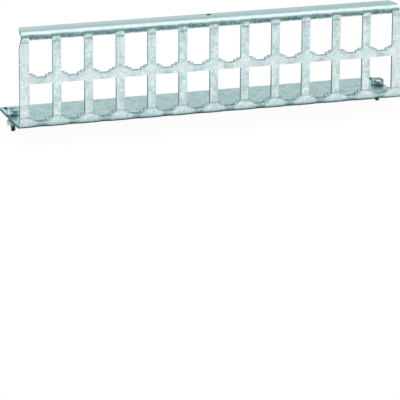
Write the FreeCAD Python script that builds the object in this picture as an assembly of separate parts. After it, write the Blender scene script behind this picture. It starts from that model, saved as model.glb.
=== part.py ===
import FreeCAD, Part
import math
import os

# Patch panel carrier: one folded sheet with two rows of module openings, two captive screws
# and the collars that hold them. Millimetres. X runs along the panel, the open face looks
# towards -Y, the shelf and the lip run back to +Y, and Z is up from the shelf's underside.
# The pieces are drawn with the open face at Y = 0 and then moved, so that the origin of the
# finished part lies midway between the two screws.

os.makedirs("parts", exist_ok=True)

V = FreeCAD.Vector
diagonal = math.sqrt(0.5)

# the sheet
sheet = 1.5
panel_height = 60.0
shelf_depth = 47.5
lip_depth = 14.1

# the module openings
columns = 12
rows = 2
column_pitch = 20.0
row_pitch = 27.2
opening_width = 14.7
opening_height = 23.1
lower_sill = 4.65
end_strip = 6.0

# the steps at the foot of each opening, from the outside in: height over the sill and width
step_heights = (2.35, 1.35)
step_widths = (2.4, 2.0)

# the rounded edge that the punch leaves on the front of each opening
roll_width = 0.4
roll_depth = 0.2
roll_dip = 0.7
roll_steps = 8
roll_margin = 0.15

# outside radii of the two bends. The half next to the face is tight where the sheet is solid and
# wide where an opening weakens it, and the half next to the lip or the shelf is always the same.
top_tight = 2.8
top_wide = 6.0
top_outer = 5.8
low_tight = 2.8
low_wide = 5.0
low_outer = 2.8
flats = 3
band = 7.5

# how the radius eases from tight to wide: distance and share of the change. At the top the
# distance counts from the middle of a post in post widths, at the foot from the end of the sill.
top_ease = ((0.30, 0.0), (0.53, 0.33), (0.72, 1.0))
low_ease = ((-0.2, 1.0), (0.8, 0.40), (3.0, 0.0))
end_ease_out = 1.2
end_ease_in = 0.9

# the slanted cut of the face's top corners and of the lip's ends, and the flare of the foot
corner_start = 10.0
corner_inset = 1.55
lip_inset = 3.4
lip_corner_radius = 1.2
shelf_extra = 0.65
flare_height = 6.0
shelf_corner_radius = 2.0

# the hole in the lip
lip_hole = 3.2
lip_hole_back = 10.9

# the slot behind each screw
slot_width = 2.6
slot_length = 5.4
slot_side = 3.5
slot_back = 4.1

# the screws and their collars
screw_side = 4.1
screw_back = 17.7
thread = 4.0
thread_clearance = 0.25
collar_clearance = 0.03
flange = 7.2
flange_height = 1.0
head = 8.0
head_side = 1.9
head_crown = 0.9
crown_flat = 5.0
recess = 3.6
recess_depth = 1.6
recess_arm = 1.0
recess_turn = 20
tip = 3.0
tip_length = 3.7
screw_below = 9.1
collar = 8.0
collar_height = 2.4
collar_drop = 2.6
tip_taper = 0.4

# sizes that follow from the values above
panel_length = columns * column_pitch - (column_pitch - opening_width) + 2 * end_strip
half = panel_length / 2
first_opening = -half + end_strip
post = column_pitch - opening_width
shelf_half = half + shelf_extra
screw_x = shelf_half - screw_side
screw_y = shelf_depth - screw_back


def polygon(points):
    return Part.makePolygon([V(*p) for p in points] + [V(*points[0])])


def prism(points, direction):
    return Part.Face(polygon(points)).extrude(V(*direction))


def bend_section(x, radius, outer):
    # true section of the sheet where the face turns into the shelf, at one place along the panel:
    # an eighth of a turn at the face's radius, then an eighth at the shelf's
    start = diagonal * radius + (1 - diagonal) * outer
    shift = (1 - diagonal) * (radius - outer)

    def corner(wall):
        points = []
        for i in range(flats + 1):
            turn = math.pi / 4 * i / flats
            r = radius - wall
            points.append((x, radius - r * math.cos(turn), start - r * math.sin(turn)))
        for i in range(1, flats + 1):
            turn = math.pi / 4 * (1 + i / flats)
            r = outer - wall
            points.append((x, outer + shift - r * math.cos(turn), outer - r * math.sin(turn)))
        return points

    outside = [(x, 0, band)] + corner(0) + [(x, band, 0)]
    inside = [(x, sheet, band)] + corner(sheet) + [(x, band, sheet)]
    return polygon(outside + inside[::-1])


def bend(stations, outer):
    # a bend along the whole panel whose radius changes from station to station
    return Part.makeLoft([bend_section(x, radius, outer) for x, radius in stations], True, True)


def opening_lefts():
    return [first_opening + column_pitch * i for i in range(columns)]


def post_centres():
    return [left - post / 2 for left in opening_lefts()[1:]]


def eased(centre, ease, tight, wide):
    # stations on both sides of a centre, in order along the panel
    before = [(centre - away, tight + (wide - tight) * share) for away, share in reversed(ease)]
    after = [(centre + away, tight + (wide - tight) * share) for away, share in ease]
    return before + after


def top_stations():
    # the bend stays tight over each post and opens out over each opening
    ease = [(post * away, share) for away, share in top_ease]
    middle = []
    for centre in post_centres():
        middle += eased(centre, ease, top_tight, top_wide)
    left_end = [(-half, top_tight), (first_opening - end_ease_out, top_tight)]
    left_end.append((first_opening + end_ease_in, top_wide))
    right_end = [(-x, radius) for x, radius in reversed(left_end)]
    return left_end + middle + right_end


def low_stations():
    # the bend opens out only under the sill, between the steps
    sill_half = opening_width / 2 - sum(step_widths)
    ease = [(sill_half + away, share) for away, share in low_ease]
    stations = [(-shelf_half, low_tight)]
    for left in opening_lefts():
        stations += eased(left + opening_width / 2, ease, low_tight, low_wide)
    stations.append((shelf_half, low_tight))
    return stations


def sill_profile():
    # the stepped foot of an opening, from its left side to its right, as distance and height
    left = []
    at = 0.0
    for height, width in zip(step_heights, step_widths):
        left.append((at, height))
        at += width
        left.append((at, height))
    left.append((at, 0.0))
    right = [(opening_width - u, v) for u, v in reversed(left)]
    return left + right


def opening_cutter(left, sill):
    # the punched shape, right through the sheet
    foot = [(left + u, -1.0, sill + v) for u, v in sill_profile()]
    head_z = sill + opening_height
    points = foot + [(left + opening_width, -1.0, head_z), (left, -1.0, head_z)]
    return prism(points, (0, 2 + top_wide, 0))


def roll_cutter(left, sill):
    # the rounded front edge: wider than the opening at the front, gone at its full depth, and
    # running under the steps in one smooth curve
    def outline(y, grow, dip):
        mid = opening_width / 2
        reach = mid + grow
        pts = []
        for i in range(roll_steps + 1):
            u = -reach + 2 * reach * i / roll_steps
            curve = -dip + (step_heights[0] + dip - roll_margin) * (u / reach) ** 2
            pts.append((left + mid + u, y, sill + curve))
        head_z = sill + opening_height + grow
        pts.append((left + mid + reach, y, head_z))
        pts.append((left + mid - reach, y, head_z))
        return polygon(pts)

    front = outline(-0.05, roll_width * 1.25, roll_dip + 0.1)
    back = outline(roll_depth, 0.0, 0.0)
    return Part.makeLoft([front, back], True, True)


def make_panel():
    low = bend(low_stations(), low_outer)
    top = bend(top_stations(), top_outer)
    top = top.mirror(V(0, 0, panel_height / 2), V(0, 0, 1))
    face = Part.makeBox(panel_length, sheet, panel_height - 2 * band, V(-half, 0, band))
    shelf = Part.makeBox(2 * shelf_half, shelf_depth - band, sheet, V(-shelf_half, band, 0))
    lip = Part.makeBox(panel_length, lip_depth - band, sheet, V(-half, band, panel_height - sheet))
    blank = face.multiFuse([low, top, shelf, lip]).removeSplitter()

    cutters = []
    for row in range(rows):
        for left in opening_lefts():
            cutters.append(opening_cutter(left, lower_sill + row_pitch * row))
            cutters.append(roll_cutter(left, lower_sill + row_pitch * row))

    # slanted top corners, carried round the bend into the ends of the lip, and the flared foot
    start = panel_height - corner_start
    bend_z = panel_height - diagonal * top_tight - (1 - diagonal) * top_outer
    bend_y = (1 - diagonal) * top_tight + diagonal * top_outer
    over = panel_height + 1
    behind = lip_depth + 1
    for side in (-1, 1):
        edge = side * half
        out = side * (shelf_half + 1)
        bend_x = edge - side * corner_inset
        rear_x = edge - side * lip_inset
        face_cut = [(edge, -1, start), (bend_x, -1, bend_z), (bend_x, -1, over)]
        face_cut += [(out, -1, over), (out, -1, start)]
        cutters.append(prism(face_cut, (0, 1 + bend_y, 0)))
        lip_cut = [(bend_x, bend_y, start), (rear_x, lip_depth, start), (rear_x, behind, start)]
        lip_cut += [(out, behind, start), (out, bend_y, start)]
        cutters.append(prism(lip_cut, (0, 0, corner_start + 1)))
        foot_cut = [(edge, -1, band + 1), (edge, -1, flare_height), (side * shelf_half, -1, sheet)]
        foot_cut += [(out, -1, sheet), (out, -1, band + 1)]
        cutters.append(prism(foot_cut, (0, 1 + band, 0)))

    # hole in the lip, screw holes and slots in the shelf
    cutters.append(Part.makeCylinder(lip_hole / 2, sheet + 2, V(0, lip_hole_back, panel_height - sheet - 1)))
    for side in (-1, 1):
        centre = V(side * screw_x, screw_y, -1)
        cutters.append(Part.makeCylinder(thread / 2 + thread_clearance, sheet + 2, centre))
        slot_x = side * (shelf_half - slot_side)
        slot_y = shelf_depth - slot_back
        reach = (slot_length - slot_width) / 2
        corner = V(slot_x - slot_width / 2, slot_y - reach, -1)
        cutters.append(Part.makeBox(slot_width, 2 * reach, sheet + 2, corner))
        for end in (slot_y - reach, slot_y + reach):
            cutters.append(Part.makeCylinder(slot_width / 2, sheet + 2, V(slot_x, end, -1)))

    panel = blank.cut(cutters)

    panel = round_corners(panel, lip_depth, panel_height - sheet, lip_corner_radius)
    return round_corners(panel, shelf_depth, 0, shelf_corner_radius)


def round_corners(shape, y, z, radius):
    # rounds the upright corner edges that stand at one depth and start at one height
    found = []
    for edge in shape.Edges:
        box = edge.BoundBox
        upright = max(box.XLength, box.YLength) < 1e-4 and abs(box.ZLength - sheet) < 1e-4
        if upright and abs(box.YMin - y) < 1e-4 and abs(box.ZMin - z) < 1e-4:
            found.append(edge)
    return shape.makeFillet(radius, found)


def bar(z, share):
    # one arm of the cross recess at one height, narrower further down
    a = recess / 2 * share
    b = recess_arm / 2 * share
    return polygon([(-a, -b, z), (a, -b, z), (a, b, z), (-a, b, z)])


def make_screw(side):
    # half section, turned about the screw's axis
    seat = sheet
    rim = seat + flange_height
    top = rim + head_side
    crown = top + head_crown
    shank_end = -screw_below + tip_length
    outline = [
        (0, 0, -screw_below),
        (tip / 2 - tip_taper, 0, -screw_below),
        (tip / 2, 0, -screw_below + tip_taper),
        (tip / 2, 0, shank_end),
        (thread / 2, 0, shank_end),
        (thread / 2, 0, seat),
        (flange / 2, 0, seat),
        (flange / 2, 0, rim),
        (head / 2, 0, rim),
        (head / 2, 0, top),
        (crown_flat / 2, 0, crown),
        (0, 0, crown),
    ]
    body = Part.Face(polygon(outline)).revolve(V(0, 0, 0), V(0, 0, 1), 360)
    floor = crown - recess_depth
    arms = []
    for turn in (0, 90):
        arm = Part.makeLoft([bar(floor, 0.45), bar(crown + 0.2, 1.05)], True, True)
        arm.rotate(V(0, 0, 0), V(0, 0, 1), turn + side * recess_turn)
        arms.append(arm)
    body = body.cut(arms)
    body.translate(V(side * screw_x, screw_y, 0))
    return body


def make_collar(side):
    base = V(side * screw_x, screw_y, -collar_drop - collar_height)
    ring = Part.makeCylinder(collar / 2, collar_height, base)
    return ring.cut(Part.makeCylinder(thread / 2 + collar_clearance, collar_height, base))


parts = {"folded_panel": make_panel()}
for side, word in ((-1, "left"), (1, "right")):
    parts["screw_" + word] = make_screw(side)
    parts["collar_" + word] = make_collar(side)

for name, shape in parts.items():
    shape.translate(V(0, -screw_y, 0))
    shape.exportStep("parts/" + name + ".step")
    print(name, shape.isValid(), round(shape.Volume, 1), len(shape.Faces), len(shape.Solids), shape.BoundBox)
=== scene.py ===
import math

import bpy
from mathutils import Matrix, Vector


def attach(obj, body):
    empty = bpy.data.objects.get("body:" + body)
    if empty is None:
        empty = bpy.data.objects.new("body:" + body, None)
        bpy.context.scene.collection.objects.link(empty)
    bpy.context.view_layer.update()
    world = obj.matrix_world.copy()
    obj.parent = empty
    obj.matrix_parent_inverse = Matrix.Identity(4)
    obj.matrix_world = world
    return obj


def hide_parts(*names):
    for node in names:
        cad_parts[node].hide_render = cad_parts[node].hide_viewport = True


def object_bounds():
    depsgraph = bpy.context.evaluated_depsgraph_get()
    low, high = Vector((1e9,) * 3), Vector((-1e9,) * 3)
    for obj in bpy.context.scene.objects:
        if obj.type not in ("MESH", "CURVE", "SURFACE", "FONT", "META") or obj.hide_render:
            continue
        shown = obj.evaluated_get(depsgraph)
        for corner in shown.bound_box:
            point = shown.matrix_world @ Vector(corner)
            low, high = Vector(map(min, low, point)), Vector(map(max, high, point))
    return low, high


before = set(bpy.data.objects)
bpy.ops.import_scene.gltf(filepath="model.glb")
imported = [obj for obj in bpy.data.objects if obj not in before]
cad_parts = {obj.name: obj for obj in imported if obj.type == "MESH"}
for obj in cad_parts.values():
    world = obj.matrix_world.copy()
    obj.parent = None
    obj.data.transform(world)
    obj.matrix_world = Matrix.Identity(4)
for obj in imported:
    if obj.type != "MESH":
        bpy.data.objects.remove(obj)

lowest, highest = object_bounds()

# Patch panel carrier: a folded galvanised sheet with two rows of module openings, held by a
# captive screw at each rear corner of its shelf. Metres, in the CAD part's own frame, where X
# runs along the panel, the open face looks towards -Y and the shelf's underside is at Z = 0.
# Finishes work in millimetres.

MM = 0.001
OPEN_FACE = lowest.y / MM
SHEET = 1.5
TOP = highest.z / MM
COLUMN_PITCH = 20.0
# how far the bending tool moves the heads of the posts back and the strips between them forward
PRESS_DEPTH = 0.47
# just inside the outer edge of the first and the last opening
OUTER_OPENING = 116.9
# the places of the finishes in the panel's list of materials
SHEET_SKIN, CUT_SIDE, CUT_TREAD, ROLLED_EDGE = range(4)


# Writing materials as sums and products


class Value:
    """A number that varies over a surface. Arithmetic on it adds Math nodes."""

    def __init__(self, finish, socket):
        self.finish = finish
        self.socket = socket

    def math(self, operation, *inputs):
        return self.finish.node("ShaderNodeMath", {"operation": operation}, *inputs)["Value"]

    def __add__(self, other):
        return self.math("ADD", self, other)

    __radd__ = __add__

    def __sub__(self, other):
        return self.math("SUBTRACT", self, other)

    def __rsub__(self, other):
        return self.math("SUBTRACT", other, self)

    def __mul__(self, other):
        return self.math("MULTIPLY", self, other)

    __rmul__ = __mul__

    def __abs__(self):
        return self.math("ABSOLUTE", self)

    def cosine(self):
        return self.math("COSINE", self)

    def ramp(self, low, high, start=0.0, end=1.0):
        """Eases from start to end while the value goes from low to high."""
        settings = {"interpolation_type": "SMOOTHSTEP"}
        return self.finish.node("ShaderNodeMapRange", settings, self, low, high, start, end)["Result"]

    def near(self, middle, inner, outer):
        """One within inner of the middle, nought beyond outer."""
        return abs(self - middle).ramp(inner, outer, 1.0, 0.0)


class Outputs:
    """The output sockets of one node, by name."""

    def __init__(self, finish, node):
        self.finish = finish
        self.node = node

    def __getitem__(self, name):
        sockets = [s for s in self.node.outputs if s.name == name and s.enabled]
        return Value(self.finish, sockets[0])


class Finish:
    """The node tree of a material or of the world while it is put together."""

    def __init__(self, tree):
        self.tree = tree
        tree.nodes.clear()

    def node(self, kind, settings=None, *inputs, **named):
        node = self.tree.nodes.new(kind)
        for key, value in (settings or {}).items():
            setattr(node, key, value)
        enabled = [s for s in node.inputs if s.enabled]
        for socket, value in zip(enabled, inputs):
            self.feed(socket, value)
        for key, value in named.items():
            wanted = key.replace("_", " ")
            self.feed([s for s in enabled if s.name == wanted][0], value)
        return Outputs(self, node)

    def feed(self, socket, value):
        if isinstance(value, Value):
            self.tree.links.new(value.socket, socket)
        elif value is not None:
            socket.default_value = value

    def millimetres(self):
        """The place on the part, in millimetres, as one vector and as three numbers."""
        coords = self.node("ShaderNodeTexCoord")["Object"]
        place = self.scaled(coords, 1.0 / MM)
        parts = self.node("ShaderNodeSeparateXYZ", {}, place)
        return place, parts["X"], parts["Y"], parts["Z"]

    def scaled(self, vector, scale):
        return self.node("ShaderNodeVectorMath", {"operation": "SCALE"}, vector, Scale=scale)["Vector"]

    def stretched(self, vector, factors):
        return self.node("ShaderNodeVectorMath", {"operation": "MULTIPLY"}, vector, factors)["Vector"]

    def mixed(self, amount, first, second):
        return self.node("ShaderNodeMix", {"data_type": "RGBA"}, amount, first, second)["Result"]

    def tinted(self, amount, colour, tint):
        settings = {"data_type": "RGBA", "blend_type": "MULTIPLY"}
        return self.node("ShaderNodeMix", settings, amount, colour, tint)["Result"]

    def clouds(self, vector, scale, detail):
        """Cloudy variation from nought to one."""
        noise = self.node("ShaderNodeTexNoise", {}, vector, Scale=scale, Detail=detail, Roughness=0.6)["Fac"]
        return noise.ramp(0.28, 0.72)

    def crystals(self, vector, scale):
        """A random level for each crystal of the zinc."""
        settings = {"feature": "F1"}
        colour = self.node("ShaderNodeTexVoronoi", settings, vector, Scale=scale, Randomness=1.0)["Color"]
        return self.node("ShaderNodeSeparateColor", {}, colour)["Red"]

    def metal(self, colour, roughness, relief, rim=(1.0, 1.0, 1.0, 1.0)):
        """Ends the material as bare metal, with a height in millimetres and a tint at grazing angles."""
        normal = self.node("ShaderNodeBump", {}, Strength=1.0, Distance=MM, Height=relief)["Normal"]
        surface = self.node(
            "ShaderNodeBsdfPrincipled",
            {},
            Base_Color=colour,
            Metallic=1.0,
            Roughness=roughness,
            Normal=normal,
            Specular_Tint=rim,
        )["BSDF"]
        self.node("ShaderNodeOutputMaterial", {}, surface)


def rgb(red, green, blue):
    return (red, green, blue, 1.0)


def new_material(name):
    material = bpy.data.materials.new(name)
    material.use_nodes = True
    return material, Finish(material.node_tree)


# Studio


def make_floor():
    bpy.ops.object.select_all(action="DESELECT")
    bpy.ops.mesh.primitive_plane_add(size=8.0, location=(0, 0, lowest.z - 0.0002))
    floor = bpy.context.object
    floor.name = "studio_floor"
    bpy.ops.object.transform_apply(location=True, rotation=True, scale=True)
    material, finish = new_material("floor_white")
    paper = finish.node("ShaderNodeBsdfDiffuse", {}, rgb(0.90, 0.90, 0.90))["BSDF"]
    glow = finish.node("ShaderNodeEmission", {}, rgb(1.0, 1.0, 1.0), 1.0)["Emission"]
    seen = finish.node("ShaderNodeLightPath")["Is Camera Ray"]
    shown = finish.node("ShaderNodeMixShader", {}, seen * 0.96, paper, glow)["Shader"]
    finish.node("ShaderNodeOutputMaterial", {}, shown)
    floor.data.materials.append(material)


def make_world():
    # a long softbox over the object, a dim room in front of it and a grey backdrop behind it; the
    # angle is the lift above the horizon in front, and 180 degrees is the horizon behind
    world = bpy.data.worlds.new("studio_room")
    bpy.context.scene.world = world
    world.use_nodes = True
    finish = Finish(world.node_tree)
    direction = finish.node("ShaderNodeTexCoord")["Generated"]
    parts = finish.node("ShaderNodeSeparateXYZ", {}, direction)
    lift = direction.math("ARCTAN2", parts["Z"], 0.0 - parts["Y"]) * (180.0 / math.pi)
    flag = parts["X"].near(0.30, 0.20, 0.34)
    room = finish.mixed(flag, rgb(0.40, 0.45, 0.45), rgb(0.155, 0.27, 0.275))
    front = finish.mixed(lift.ramp(63.0, 76.0), room, rgb(1.28, 1.26, 1.26))
    light = finish.mixed(lift.ramp(111.0, 124.0), front, rgb(0.62, 0.70, 0.70))
    shown = finish.mixed(finish.node("ShaderNodeLightPath")["Is Camera Ray"], light, rgb(1.0, 1.0, 1.0))
    background = finish.node("ShaderNodeBackground", {}, shown, 1.0)["Background"]
    finish.node("ShaderNodeOutputWorld", {}, background)


def make_overhead_lamp():
    # lights the floor alone; bare metal doesn't mirror it
    bpy.ops.object.select_all(action="DESELECT")
    bpy.ops.object.light_add(type="AREA", location=(0, -0.2, 1.6))
    lamp = bpy.context.object
    lamp.name = "overhead_lamp"
    lamp.data.shape = "SQUARE"
    lamp.data.size = 1.4
    lamp.data.energy = 11.0
    lamp.visible_glossy = False


def make_camera():
    data = bpy.data.cameras.new("photo_camera")
    camera = bpy.data.objects.new("photo_camera", data)
    bpy.context.scene.collection.objects.link(camera)
    data.sensor_width = 36.0
    data.lens = 273.69
    data.clip_start = 0.05
    data.clip_end = 50.0
    azimuth, elevation, roll = math.radians(-18.5), math.radians(17.34), math.radians(0.375)
    level = math.cos(elevation)
    back = Vector((math.sin(azimuth) * level, -math.cos(azimuth) * level, math.sin(elevation)))
    right = (-back).cross(Vector((0, 0, 1))).normalized()
    up = right.cross(-back)
    turned_right = math.cos(roll) * right + math.sin(roll) * up
    turned_up = math.cos(roll) * up - math.sin(roll) * right
    matrix = camera.matrix_world.copy()
    for row in range(3):
        matrix[row][0] = turned_right[row]
        matrix[row][1] = turned_up[row]
        matrix[row][2] = back[row]
    sideways = 0.00031
    matrix.translation = Vector((-0.5806, -1.7383, 0.5075)) + turned_right * sideways
    camera.matrix_world = matrix
    bpy.context.scene.camera = camera


# Finishes


def galvanised_sheet():
    # satin zinc with pale and blue-grey patches, the marks of the press tool on the open face, and painted
    # highlights and painted shade at both bends
    material, finish = new_material("galvanised_sheet")
    place, x, y, z = finish.millimetres()
    depth = y - OPEN_FACE
    patches = finish.clouds(place, 0.28, 3.0)
    blots = finish.clouds(place, 0.62, 2.0)
    specks = finish.clouds(place, 1.4, 2.0)
    spangle = finish.crystals(place, 0.7)
    streaks = finish.clouds(finish.stretched(place, (0.06, 1.2, 1.2)), 1.0, 2.0)
    crazing = finish.clouds(finish.stretched(place, (0.45, 0.8, 0.8)), 1.0, 3.0)

    on_face = depth.ramp(0.4, 0.8, 1.0, 0.0)
    calm = depth.ramp(4.0, 8.0)
    on_shelf = calm * z.ramp(SHEET + 0.2, SHEET + 0.8, 1.0, 0.0)
    on_lip = calm * z.ramp(TOP - 2.5, TOP - 1.0)
    # from about minus one at the left end of the panel to one at the right end
    share = x * (1.0 / 120.0)
    # the line where the foot of a post starts: a low dome over each post, down to the sills beside it; the
    # line is a shallow step in the relief with painted shade along it
    across = (x * (2 * math.pi / COLUMN_PITCH)).cosine()
    rise = z - (5.5 + 1.6 * across)
    seam_step_and_shade = on_face * rise.near(0.0, 0.10, 0.75) * (0.4 + 0.6 * specks)
    # painted shade in the valley between two feet with a faint painted glow in it, painted light on the
    # feet, and painted shade on the outside of the bottom bend, deepest along its lowest edge
    near_floor = depth.ramp(2.5, 5.0, 1.0, 0.0)
    dome = ((x - 0.7) * (2 * math.pi / COLUMN_PITCH)).cosine() - 0.17 * (z - 2.0)
    shaded_valley = near_floor * dome.ramp(-0.95, -0.35, 1.0, 0.0) * z.ramp(4.5, 5.2, 1.0, 0.0)
    foot = near_floor * dome.ramp(-0.6, 0.4) * z.ramp(5.0, 6.5, 1.0, 0.0)
    painted_fold_shade = near_floor * z.ramp(0.0, 3.8, 1.0, 0.0)
    painted_trough_shade = shaded_valley * z.ramp(0.9, 3.0, 1.0, 0.0)
    painted_hem_shade = near_floor * z.ramp(0.6, 1.9, 1.0, 0.0)
    glow = shaded_valley * z.near(3.2, 0.3, 0.9)
    # the bead that the bending tool leaves across the head of each post, with painted shade along it
    press = on_face * z.near(TOP - 6.2, 0.35, 1.05) * (0.25 + 0.75 * specks)
    # fine cracks where the zinc is stretched over the lower half of the top bend
    stretched = z.ramp(TOP - 5.6, TOP - 5.0) * z.ramp(TOP - 2.9, TOP - 2.1, 1.0, 0.0)
    top_bend = z.ramp(TOP - 3.4, TOP - 2.4)
    # painted highlights and painted shade in narrow rows across the top bend over each post, and painted
    # shade on the lip just behind the bend
    over_post = across.ramp(0.5, 0.8)
    painted_crease_light = z.near(TOP - 3.3, 0.2, 0.8) * over_post
    painted_head_light = z.near(TOP - 4.2, 1.1, 2.0) * over_post
    painted_notch_shade = z.near(TOP - 2.0, 0.3, 0.7) * over_post
    painted_shoulder_shade = z.ramp(TOP - 1.2, TOP - 0.5) * depth.near(5.4, 1.0, 3.0)
    # the paler strip between the two rows of openings, darker below the middle of each opening
    rail = on_face * z.near(30.0, 2.5, 5.0) * across.ramp(-0.9, 0.5, 0.35, 1.0)
    dip = on_face * z.near(29.5, 2.0, 3.0) * across.ramp(-0.95, -0.3, 1.0, 0.0)
    end_strip = on_face * abs(x).ramp(116.5, 119.5)
    press = press * (1.0 - 0.5 * end_strip)

    colour = finish.mixed(patches, rgb(0.53, 0.73, 0.735), rgb(0.925, 1.0, 1.0))
    colour = finish.mixed(rail * 0.7, colour, rgb(0.84, 0.93, 0.93))
    colour = finish.mixed(end_strip * 0.6, colour, rgb(0.86, 0.92, 0.92))
    colour = finish.tinted(on_shelf, colour, rgb(0.86, 0.93, 0.93))
    colour = finish.tinted(shaded_valley, colour, rgb(0.64, 0.77, 0.78))
    colour = finish.tinted(painted_trough_shade, colour, rgb(0.80, 0.84, 0.85))
    # painted light on the feet, then painted shade over the bottom bend
    colour = finish.mixed(foot * 0.6, colour, rgb(0.84, 0.91, 0.93))
    colour = finish.tinted(foot * z.near(2.5, 0.8, 2.4), colour, rgb(0.865, 0.945, 0.945))
    colour = finish.tinted(painted_fold_shade, colour, rgb(0.62, 0.71, 0.72))
    colour = finish.tinted(painted_hem_shade, colour, rgb(0.25, 0.33, 0.34))
    colour = finish.mixed(top_bend * 0.7, colour, rgb(0.76, 0.91, 0.92))
    colour = finish.tinted(painted_head_light, colour, rgb(0.92, 1.03, 1.04))
    wear = (0.09 * specks + 0.20 * blots + 0.08 * spangle) * (1.0 - 0.5 * calm) + 0.06 * calm
    tone = 1.07 - wear * (1.0 - 0.8 * top_bend) - 0.07 * top_bend - 0.07 * streaks * (1.0 - on_face)
    tone = tone * (1.0 - 0.45 * seam_step_and_shade) * (1.0 - 0.55 * press) * (1.0 + painted_crease_light)
    tone = tone * (1.0 - 0.22 * painted_notch_shade) * (1.0 - 0.13 * painted_shoulder_shade) * (1.0 + 0.16 * glow)
    tone = tone * (1.0 - dip * z.ramp(27.5, 31.5, 0.16, 0.07))
    tone = tone * (1.0 - on_lip * (0.013 + 0.05 * share + 0.05 * x.ramp(40.0, 115.0)))
    tone = tone * (1.0 + on_shelf * (0.05 - 0.035 * share))
    tone = tone * (1.0 + stretched * (crazing - 0.5) * 0.8)
    rough = 0.25 + 0.06 * patches + 0.05 * spangle - 0.04 * on_shelf
    relief = 0.020 * patches + 0.008 * blots + 0.004 * specks - 0.015 * seam_step_and_shade - 0.02 * press
    finish.metal(finish.scaled(colour, tone), rough, relief * (1.0 - 0.9 * top_bend))
    return material


def cut_edge(name, colour, upper=0.0):
    # the torn grain of a punched or sheared edge, with dark lines across the sheet's thickness; each way the
    # cut faces gets its own colour, with the sides painted darkest as painted shade; upper says how much
    # brighter the upper row of openings is painted, as painted light
    material, finish = new_material(name)
    place, _, _, z = finish.millimetres()
    grain = finish.clouds(place, 2.2, 3.0)
    tears = finish.clouds(finish.stretched(place, (3.0, 0.4, 3.0)), 1.0, 2.0)
    tone = (0.65 + 0.35 * grain + 0.30 * tears) * (1.0 + upper * z.ramp(20.0, 26.0))
    finish.metal(finish.scaled(colour, tone), 0.42 + 0.12 * grain, 0.01 * tears, rgb(0.60, 0.85, 0.86))
    return material


def plated_steel(name, colour):
    # bright zinc plate on turned steel, with faint rings and dull spots. The painted highlights and the
    # painted shade are set from the photo: a painted glint on each head, painted light on the right half of
    # the left head, and the right screw's outer side painted darker.
    material, finish = new_material(name)
    place, x, _, z = finish.millimetres()
    dull = finish.clouds(place, 0.9, 3.0)
    rings = finish.clouds(finish.stretched(place, (0.2, 0.2, 5.0)), 1.0, 2.0)
    painted_flank_shade = x.ramp(120.9, 121.7)
    painted_highlights = 0.6 * x.near(-122.95, 0.2, 0.5) + 1.8 * z.near(4.5, 0.3, 0.7) * x.near(119.1, 0.8, 1.4)
    painted_highlights = painted_highlights + 0.5 * x.ramp(-120.8, -119.8) * x.ramp(-60.0, -50.0, 1.0, 0.0)
    tone = (1.30 - 0.75 * dull - 0.12 * rings) * (1.0 + painted_highlights) * (1.0 - 0.5 * painted_flank_shade)
    finish.metal(finish.scaled(colour, tone), 0.16 + 0.10 * dull, 0.004 * rings)
    return material


def pale_collar():
    # moulded resin, faintly uneven
    material, finish = new_material("pale_collar")
    place, x, _, _ = finish.millimetres()
    cloudy = finish.clouds(place, 0.5, 2.0)
    grime = finish.clouds(place, 1.6, 3.0)
    # the inner side of each collar, under the shelf, darker: painted shade
    painted_inner_shade = abs(x).ramp(121.0, 123.3, 1.0, 0.0)
    colour = finish.mixed(cloudy * 0.5 + grime * 0.3, rgb(0.74, 0.77, 0.76), rgb(0.60, 0.64, 0.63))
    colour = finish.tinted(painted_inner_shade, colour, rgb(0.36, 0.46, 0.46))
    normal = finish.node("ShaderNodeBump", {}, Strength=1.0, Distance=MM, Height=0.01 * grime)["Normal"]
    surface = finish.node(
        "ShaderNodeBsdfPrincipled", {}, Base_Color=colour, Roughness=0.42 + 0.10 * cloudy, Normal=normal
    )["BSDF"]
    finish.node("ShaderNodeOutputMaterial", {}, surface)
    return material


# Pieces


def only(piece):
    bpy.ops.object.select_all(action="DESELECT")
    piece.select_set(True)
    bpy.context.view_layer.objects.active = piece


def merged_copy(name, piece_name):
    # a copy of a CAD node with its loose triangles joined up, shown in the node's place
    only(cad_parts[name])
    bpy.ops.object.duplicate()
    piece = bpy.context.object
    piece.name = piece_name
    piece.data.name = piece_name
    bpy.ops.object.mode_set(mode="EDIT")
    bpy.ops.mesh.select_all(action="SELECT")
    bpy.ops.mesh.remove_doubles(threshold=0.002 * MM)
    bpy.ops.object.mode_set(mode="OBJECT")
    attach(piece, "root")
    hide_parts(name)
    return piece


def smooth(piece, degrees):
    only(piece)
    bpy.ops.object.shade_smooth_by_angle(angle=math.radians(degrees))
    bpy.ops.object.modifier_add(type="WEIGHTED_NORMAL")
    piece.modifiers[-1].keep_sharp = True
    bpy.ops.object.modifier_apply(modifier=piece.modifiers[-1].name)


def dress_panel():
    panel = merged_copy("folded_panel", "panel_skin")
    panel.data.materials.clear()
    finishes = [
        galvanised_sheet(),
        # one cut edge in three colours by which way it faces: painted shade on the sides, painted light on
        # the upper row
        cut_edge("cut_side_painted_shade", (0.075, 0.12, 0.125)),
        cut_edge("sheared_tread", (0.30, 0.355, 0.355), 0.35),
        cut_edge("rolled_edge", (0.52, 0.655, 0.66), 0.30),
    ]
    for material in finishes:
        panel.data.materials.append(material)
    for face in panel.data.polygons:
        face.material_index = edge_kind(face.normal, face.center / MM)
    press_heads(panel)
    smooth(panel, 22.0)


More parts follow.
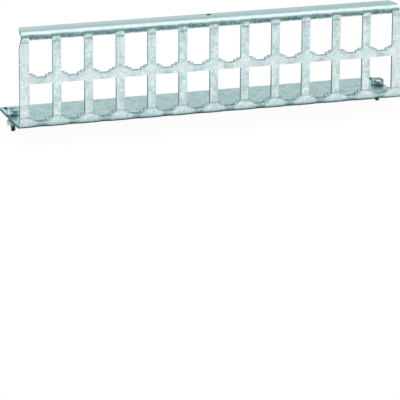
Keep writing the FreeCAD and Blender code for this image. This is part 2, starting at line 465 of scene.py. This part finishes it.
def press_heads(panel):
    # the bending tool pushes the head of each post back and leaves the strip over each opening
    # standing forward, so that the highlight of the top bend runs straight on over both
    bend_depth, bend_foot, head_foot = 7.0, TOP - 5.1, TOP - 4.4
    post_half, post_middle = 3.3, 2.2
    moves = {}
    for point in panel.data.vertices:
        place = point.co / MM
        from_post = abs((place.x + COLUMN_PITCH / 2) % COLUMN_PITCH - COLUMN_PITCH / 2)
        between_ends = abs(place.x) < OUTER_OPENING
        turned_up = math.degrees(math.asin(min(abs(point.normal.z), 1.0)))
        push = PRESS_DEPTH * min(turned_up / 45.0, 1.0)
        if place.y - OPEN_FACE > bend_depth or place.z < bend_foot:
            push = 0.0
        elif from_post > post_half and between_ends:
            push = -PRESS_DEPTH
        elif place.z < head_foot or turned_up < 9.0:
            push = 0.0
        elif from_post > post_middle and between_ends:
            push *= 0.33
        if push:
            moves.setdefault(round(push, 2), []).append(point.index)
    only(panel)
    for amount, points in moves.items():
        bpy.ops.object.mode_set(mode="EDIT")
        bpy.ops.mesh.select_mode(type="VERT")
        bpy.ops.mesh.select_all(action="DESELECT")
        bpy.ops.object.mode_set(mode="OBJECT")
        for index in points:
            panel.data.vertices[index].select = True
        bpy.ops.object.mode_set(mode="EDIT")
        bpy.ops.transform.translate(value=(0, amount * MM, 0))
        bpy.ops.object.mode_set(mode="OBJECT")


def edge_kind(normal, place):
    # the sheet itself, the side of a cut, its foot or head, or an opening's rounded front edge
    depth = place.y - OPEN_FACE
    in_shelf = 0.05 < place.z < SHEET - 0.05
    in_lip = TOP - SHEET + 0.05 < place.z < TOP - 0.05
    if abs(normal.x) > 0.8 or (in_shelf or in_lip) and depth > 7.6 and abs(normal.z) < 0.2:
        return CUT_SIDE
    if not 3.5 < place.z < TOP - 3.5:
        return SHEET_SKIN
    if depth < SHEET + 0.1 and abs(normal.z) > 0.9:
        return CUT_TREAD
    if depth < 0.35 and (abs(normal.x) > 0.2 or normal.z > 0.15 and place.z < 50.0):
        return ROLLED_EDGE
    return SHEET_SKIN


def turned(name, x, y, outline, sides=48):
    # a round piece grown ring by ring along an upright axis, from radius and height pairs
    bpy.ops.object.select_all(action="DESELECT")
    radius, height = outline[0]
    place = (x, y, height * MM)
    bpy.ops.mesh.primitive_circle_add(vertices=sides, radius=radius * MM, fill_type="NGON", location=place)
    piece = bpy.context.object
    piece.name = name
    bpy.ops.object.transform_apply(location=True, rotation=True, scale=True)
    bpy.ops.object.mode_set(mode="EDIT")
    bpy.ops.mesh.select_all(action="SELECT")
    for next_radius, next_height in outline[1:]:
        climb = (next_height - height) * MM
        bpy.ops.mesh.extrude_region_move(TRANSFORM_OT_translate={"value": (0, 0, climb)})
        share = next_radius / radius
        centre = (x, y, next_height * MM)
        bpy.ops.transform.resize(value=(share, share, 1), center_override=centre)
        radius, height = next_radius, next_height
    bpy.ops.mesh.select_all(action="SELECT")
    bpy.ops.mesh.normals_make_consistent(inside=False)
    bpy.ops.object.mode_set(mode="OBJECT")
    return piece


def joined(pieces):
    only(pieces[0])
    for piece in pieces[1:]:
        piece.select_set(True)
    bpy.ops.object.join()
    return bpy.context.object


def thread(x, y, start, pitch, turns, root, crest):
    # a three-sided ridge wound upwards about the axis
    bpy.ops.object.select_all(action="DESELECT")
    side = pitch * MM
    place = (root * MM, 0, start * MM)
    turn = (math.pi / 2, math.pi / 2, 0)
    bpy.ops.mesh.primitive_circle_add(vertices=3, radius=side / math.sqrt(3), location=place, rotation=turn)
    ridge = bpy.context.object
    ridge.name = "thread_ridge"
    bpy.ops.object.transform_apply(location=True, rotation=True, scale=True)
    points = sorted(ridge.data.vertices, key=lambda point: point.co.z)
    for point, radius, height in zip(points, (root, crest, root), (0.0, 0.5, 1.0)):
        point.co = (radius * MM, 0, (start + pitch * height) * MM)
    bpy.ops.object.mode_set(mode="EDIT")
    bpy.ops.mesh.select_all(action="DESELECT")
    bpy.ops.object.mode_set(mode="OBJECT")
    for edge in ridge.data.edges:
        ends = [ridge.data.vertices[i].co.x for i in edge.vertices]
        edge.select = max(ends) < (root + 0.01) * MM
    bpy.ops.object.mode_set(mode="EDIT")
    bpy.ops.mesh.select_mode(type="EDGE")
    bpy.ops.mesh.delete(type="EDGE")
    bpy.ops.object.mode_set(mode="OBJECT")
    bpy.ops.object.modifier_add(type="SCREW")
    winding = ridge.modifiers[-1]
    winding.screw_offset = pitch * MM
    winding.iterations = turns
    winding.steps = 32
    winding.render_steps = 32
    winding.use_merge_vertices = True
    winding.merge_threshold = 0.001 * MM
    bpy.ops.object.modifier_apply(modifier=winding.name)
    bpy.ops.transform.translate(value=(x, y, 0))
    bpy.ops.object.transform_apply(location=True, rotation=True, scale=True)
    bpy.ops.object.mode_set(mode="EDIT")
    bpy.ops.mesh.select_mode(type="VERT")
    bpy.ops.mesh.select_all(action="SELECT")
    bpy.ops.mesh.normals_make_consistent(inside=False)
    bpy.ops.object.mode_set(mode="OBJECT")
    return ridge


def cut_cross(head, x, y, turn):
    # the cross recess: two tapered arms sunk into the crown
    arms = []
    for quarter in (0.0, math.pi / 2):
        bpy.ops.object.select_all(action="DESELECT")
        size = (4.8 * MM, 1.6 * MM, 1.9 * MM)
        bpy.ops.mesh.primitive_cube_add(size=1.0, location=(x, y, 4.7 * MM), scale=size)
        arm = bpy.context.object
        bpy.ops.object.transform_apply(location=True, rotation=True, scale=True)
        bpy.ops.object.mode_set(mode="EDIT")
        bpy.ops.mesh.select_all(action="DESELECT")
        bpy.ops.object.mode_set(mode="OBJECT")
        for face in arm.data.polygons:
            face.select = face.normal.z < -0.9
        bpy.ops.object.mode_set(mode="EDIT")
        bpy.ops.mesh.select_mode(type="FACE")
        bpy.ops.transform.resize(value=(0.4, 0.5, 1), center_override=(x, y, 3.75 * MM))
        bpy.ops.mesh.select_all(action="SELECT")
        bpy.ops.transform.rotate(value=turn + quarter, orient_axis="Z", center_override=(x, y, 0))
        bpy.ops.object.mode_set(mode="OBJECT")
        arms.append(arm)
    for arm in arms:
        only(head)
        bpy.ops.object.modifier_add(type="BOOLEAN")
        cut = head.modifiers[-1]
        cut.operation = "DIFFERENCE"
        cut.solver = "EXACT"
        cut.object = arm
        bpy.ops.object.modifier_apply(modifier=cut.name)
        bpy.data.objects.remove(arm)


def rounded(radius, height, corner, steps=5):
    # the outline of a rounded upper corner
    points = []
    for i in range(steps + 1):
        turn = math.pi / 2 * i / steps
        points.append((radius - corner * (1 - math.cos(turn)), height - corner * (1 - math.sin(turn))))
    return points


def dress_screw(side, word, finishes):
    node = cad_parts["screw_" + word]
    xs = [corner[0] for corner in node.bound_box]
    ys = [corner[1] for corner in node.bound_box]
    x, y = (min(xs) + max(xs)) / 2, (min(ys) + max(ys)) / 2
    flange = [(3.85, SHEET), (3.85, 2.1), (3.98, 2.15)]
    crown = rounded(4.0, 5.1, 1.1) + [(2.2, 5.22), (1.2, 5.29), (0.1, 5.3)]
    head = turned("screw_head_" + word, x, y, flange + crown)
    cut_cross(head, x, y, side * math.radians(20.0))
    core = [(1.0, -9.1), (1.25, -8.8), (1.25, -5.5), (1.75, -5.3), (1.75, SHEET)]
    shank = turned("screw_shank_" + word, x, y, core)
    tip = thread(x, y, -9.0, 0.5, 7, 1.2, 1.5)
    neck = thread(x, y, -5.4, 0.7, 9, 1.7, 2.0)
    screw = joined([head, shank, tip, neck])
    screw.name = "screw_" + word + "_body"
    screw.data.name = screw.name
    screw.data.materials.clear()
    for material in finishes:
        screw.data.materials.append(material)
    for face in screw.data.polygons:
        out = math.hypot(face.center.x - x, face.center.y - y) / MM
        height = face.center.z / MM
        # the flange under the head, the shank and threads under the shelf, and the cross recess take the
        # darker plate: painted shade
        below_head = height < 2.13
        in_recess = out < 2.5 and height < 4.3
        face.material_index = 1 if below_head or in_recess else 0
    smooth(screw, 32.0)
    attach(screw, "root")
    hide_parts("screw_" + word)


def dress_collar(word, resin):
    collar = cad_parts["collar_" + word]
    collar.data.materials.clear()
    collar.data.materials.append(resin)


make_floor()
make_world()
make_overhead_lamp()
make_camera()
dress_panel()
plate = plated_steel("screw_plate", (0.42, 0.57, 0.58))
# the same plate darkened, as painted shade under the heads and in the recesses
dark = plated_steel("screw_painted_shade", (0.15, 0.21, 0.22))
resin = pale_collar()
for side, word in ((-1, "left"), (1, "right")):
    dress_screw(side, word, (plate, dark))
    dress_collar(word, resin)

bpy.context.scene.view_settings.view_transform = "Standard"
